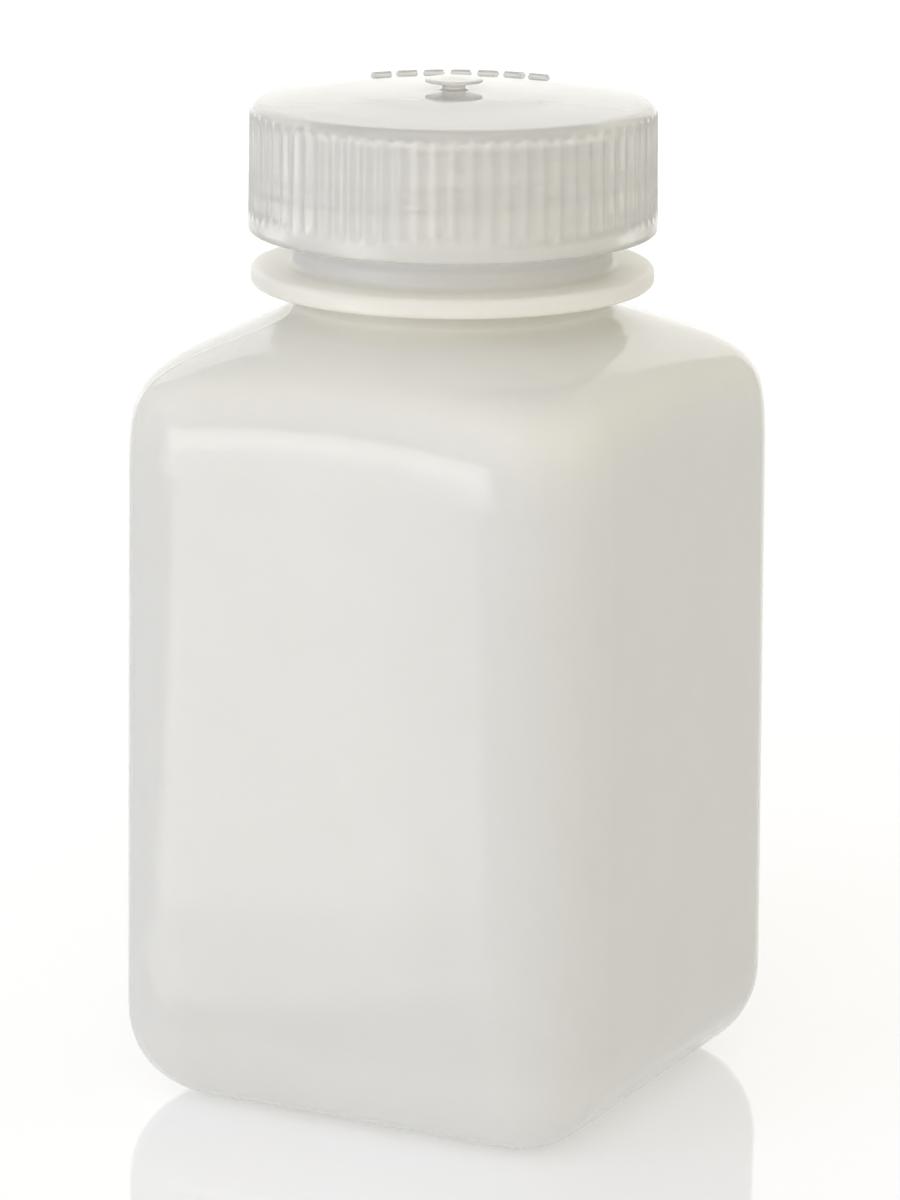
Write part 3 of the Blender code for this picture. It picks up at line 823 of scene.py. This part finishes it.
def standing_box(name, azimuth_deg, half_angle_deg, distance, low, high, radiance, seen_in_gloss):
    """An upright softbox at that compass angle. Its half angle is measured from the bottle."""
    azimuth = math.radians(azimuth_deg)
    width = 2.0 * distance * math.tan(math.radians(half_angle_deg))
    light = softbox(name, (width, high - low), radiance, seen_in_gloss)
    light.location = (distance * math.cos(azimuth), distance * math.sin(azimuth), 0.5 * (low + high))
    toward_axis = Vector((-math.cos(azimuth), -math.sin(azimuth), 0.0))
    light.rotation_euler = toward_axis.to_track_quat("-Z", "Y").to_euler()


def lying_box(name, azimuth_deg, near, far, half_width, lift, strength):
    """A bright strip just over the floor that points away from the bottle and only shows in gloss."""
    azimuth = math.radians(azimuth_deg)
    middle = 0.5 * (near + far)
    radiance = [strength * channel for channel in GLOW_TINT]
    light = softbox(name, (far - near, 2.0 * half_width), radiance, True)
    light.location = (middle * math.cos(azimuth), middle * math.sin(azimuth), cad_low.z + lift)
    light.rotation_euler = (math.pi, 0.0, azimuth)


def make_lights():
    for name, azimuth, low, high, radiance in SOFT_LIGHTS:
        standing_box(name, azimuth, SOFT_LIGHT_HALF_ANGLE, SOFT_LIGHT_DISTANCE, low, high, radiance, False)
    for name, spot, radiance in HIGH_LIGHTS:
        light = softbox(name, (HIGH_LIGHT_SIZE, HIGH_LIGHT_SIZE), radiance, False)
        light.location = spot
        light.rotation_euler = (BODY_MIDDLE - spot).to_track_quat("-Z", "Y").to_euler()
    for number, (near, far, half_width, strength) in enumerate(FLOOR_GLOW):
        for layer, spread in enumerate(GLOW_SPREADS):
            name = f"floor_glow_{number}_{layer}"
            lift = GLOW_LIFT + layer * GLOW_LAYER_GAP
            lying_box(name, GLOW_AZIMUTH, near, far, spread * half_width, lift, strength / len(GLOW_SPREADS))
    for name, azimuth, half_angle, distance, low, high, radiance in GLOW_BOXES:
        standing_box(name, azimuth, half_angle, distance, low, high, radiance, True)


def make_world():
    """A warm, even surrounding light."""
    world = bpy.data.worlds.new("studio")
    world.use_nodes = True
    back = world.node_tree.nodes["Background"]
    back.inputs["Color"].default_value = (*WORLD_RADIANCE, 1.0)
    bpy.context.scene.world = world


def make_floor():
    """A wide sheet of glossy white acrylic, a hair's breadth under the standing face."""
    half = 0.5 * FLOOR_SIZE
    z = cad_low.z - FLOOR_GAP
    mesh = bpy.data.meshes.new("studio_floor")
    corners = [(-half, -half, z), (half, -half, z), (half, half, z), (-half, half, z)]
    mesh.from_pydata(corners, [], [(0, 1, 2, 3)])
    floor = bpy.data.objects.new("studio_floor", mesh)
    bpy.context.scene.collection.objects.link(floor)
    material, _, shader = new_material("white_acrylic")
    shader.inputs["Base Color"].default_value = FLOOR_COLOUR
    shader.inputs["Roughness"].default_value = 0.04
    shader.inputs["IOR"].default_value = 1.9
    shader.inputs["Emission Color"].default_value = (1.0, 1.0, 1.0, 1.0)
    shader.inputs["Emission Strength"].default_value = FLOOR_EMISSION
    mesh.materials.append(material)


def set_light_paths():
    """Enough bounces for light to find its way through the cap's wall and back out."""
    cycles = bpy.context.scene.cycles
    cycles.max_bounces = 24
    cycles.diffuse_bounces = 12
    cycles.transmission_bounces = 16


make_camera()
bpy.context.scene.view_settings.view_transform = "Standard"
set_light_paths()
make_world()
make_lights()
make_floor()
make_bottle(hdpe())
make_cap(polypropylene())
make_liner(liner_foam())
